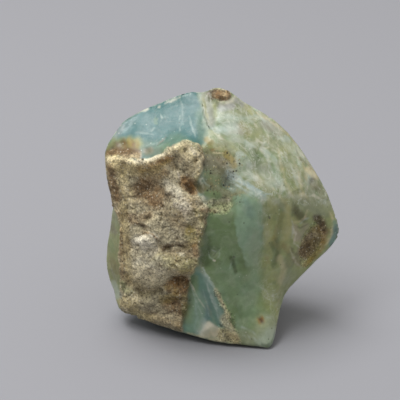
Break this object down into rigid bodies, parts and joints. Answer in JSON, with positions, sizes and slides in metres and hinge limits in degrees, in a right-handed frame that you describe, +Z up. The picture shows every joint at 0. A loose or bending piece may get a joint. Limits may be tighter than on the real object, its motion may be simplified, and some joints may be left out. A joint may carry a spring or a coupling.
{
  "type": "mineral specimen",
  "caption": "Rough hand specimen of andean blue opal: a wedge-shaped broken lump with smooth curved faces and a raised, grainy crust of host rock, resting on a small flat spot.",
  "frame": {"origin": "the middle of the bounding box's bottom, level with the flat spot that the stone rests on", "axes": "+Z up, -Y towards the side with the crust and the largest broken faces, +X to the right seen from there"},
  "size_m": [0.0412, 0.0252, 0.0428],
  "materials": {
    "opal": "rough"
  },
  "bodies": {
    "root": {"andean_blue_opal": "opal"}
  },
  "joints": []
}
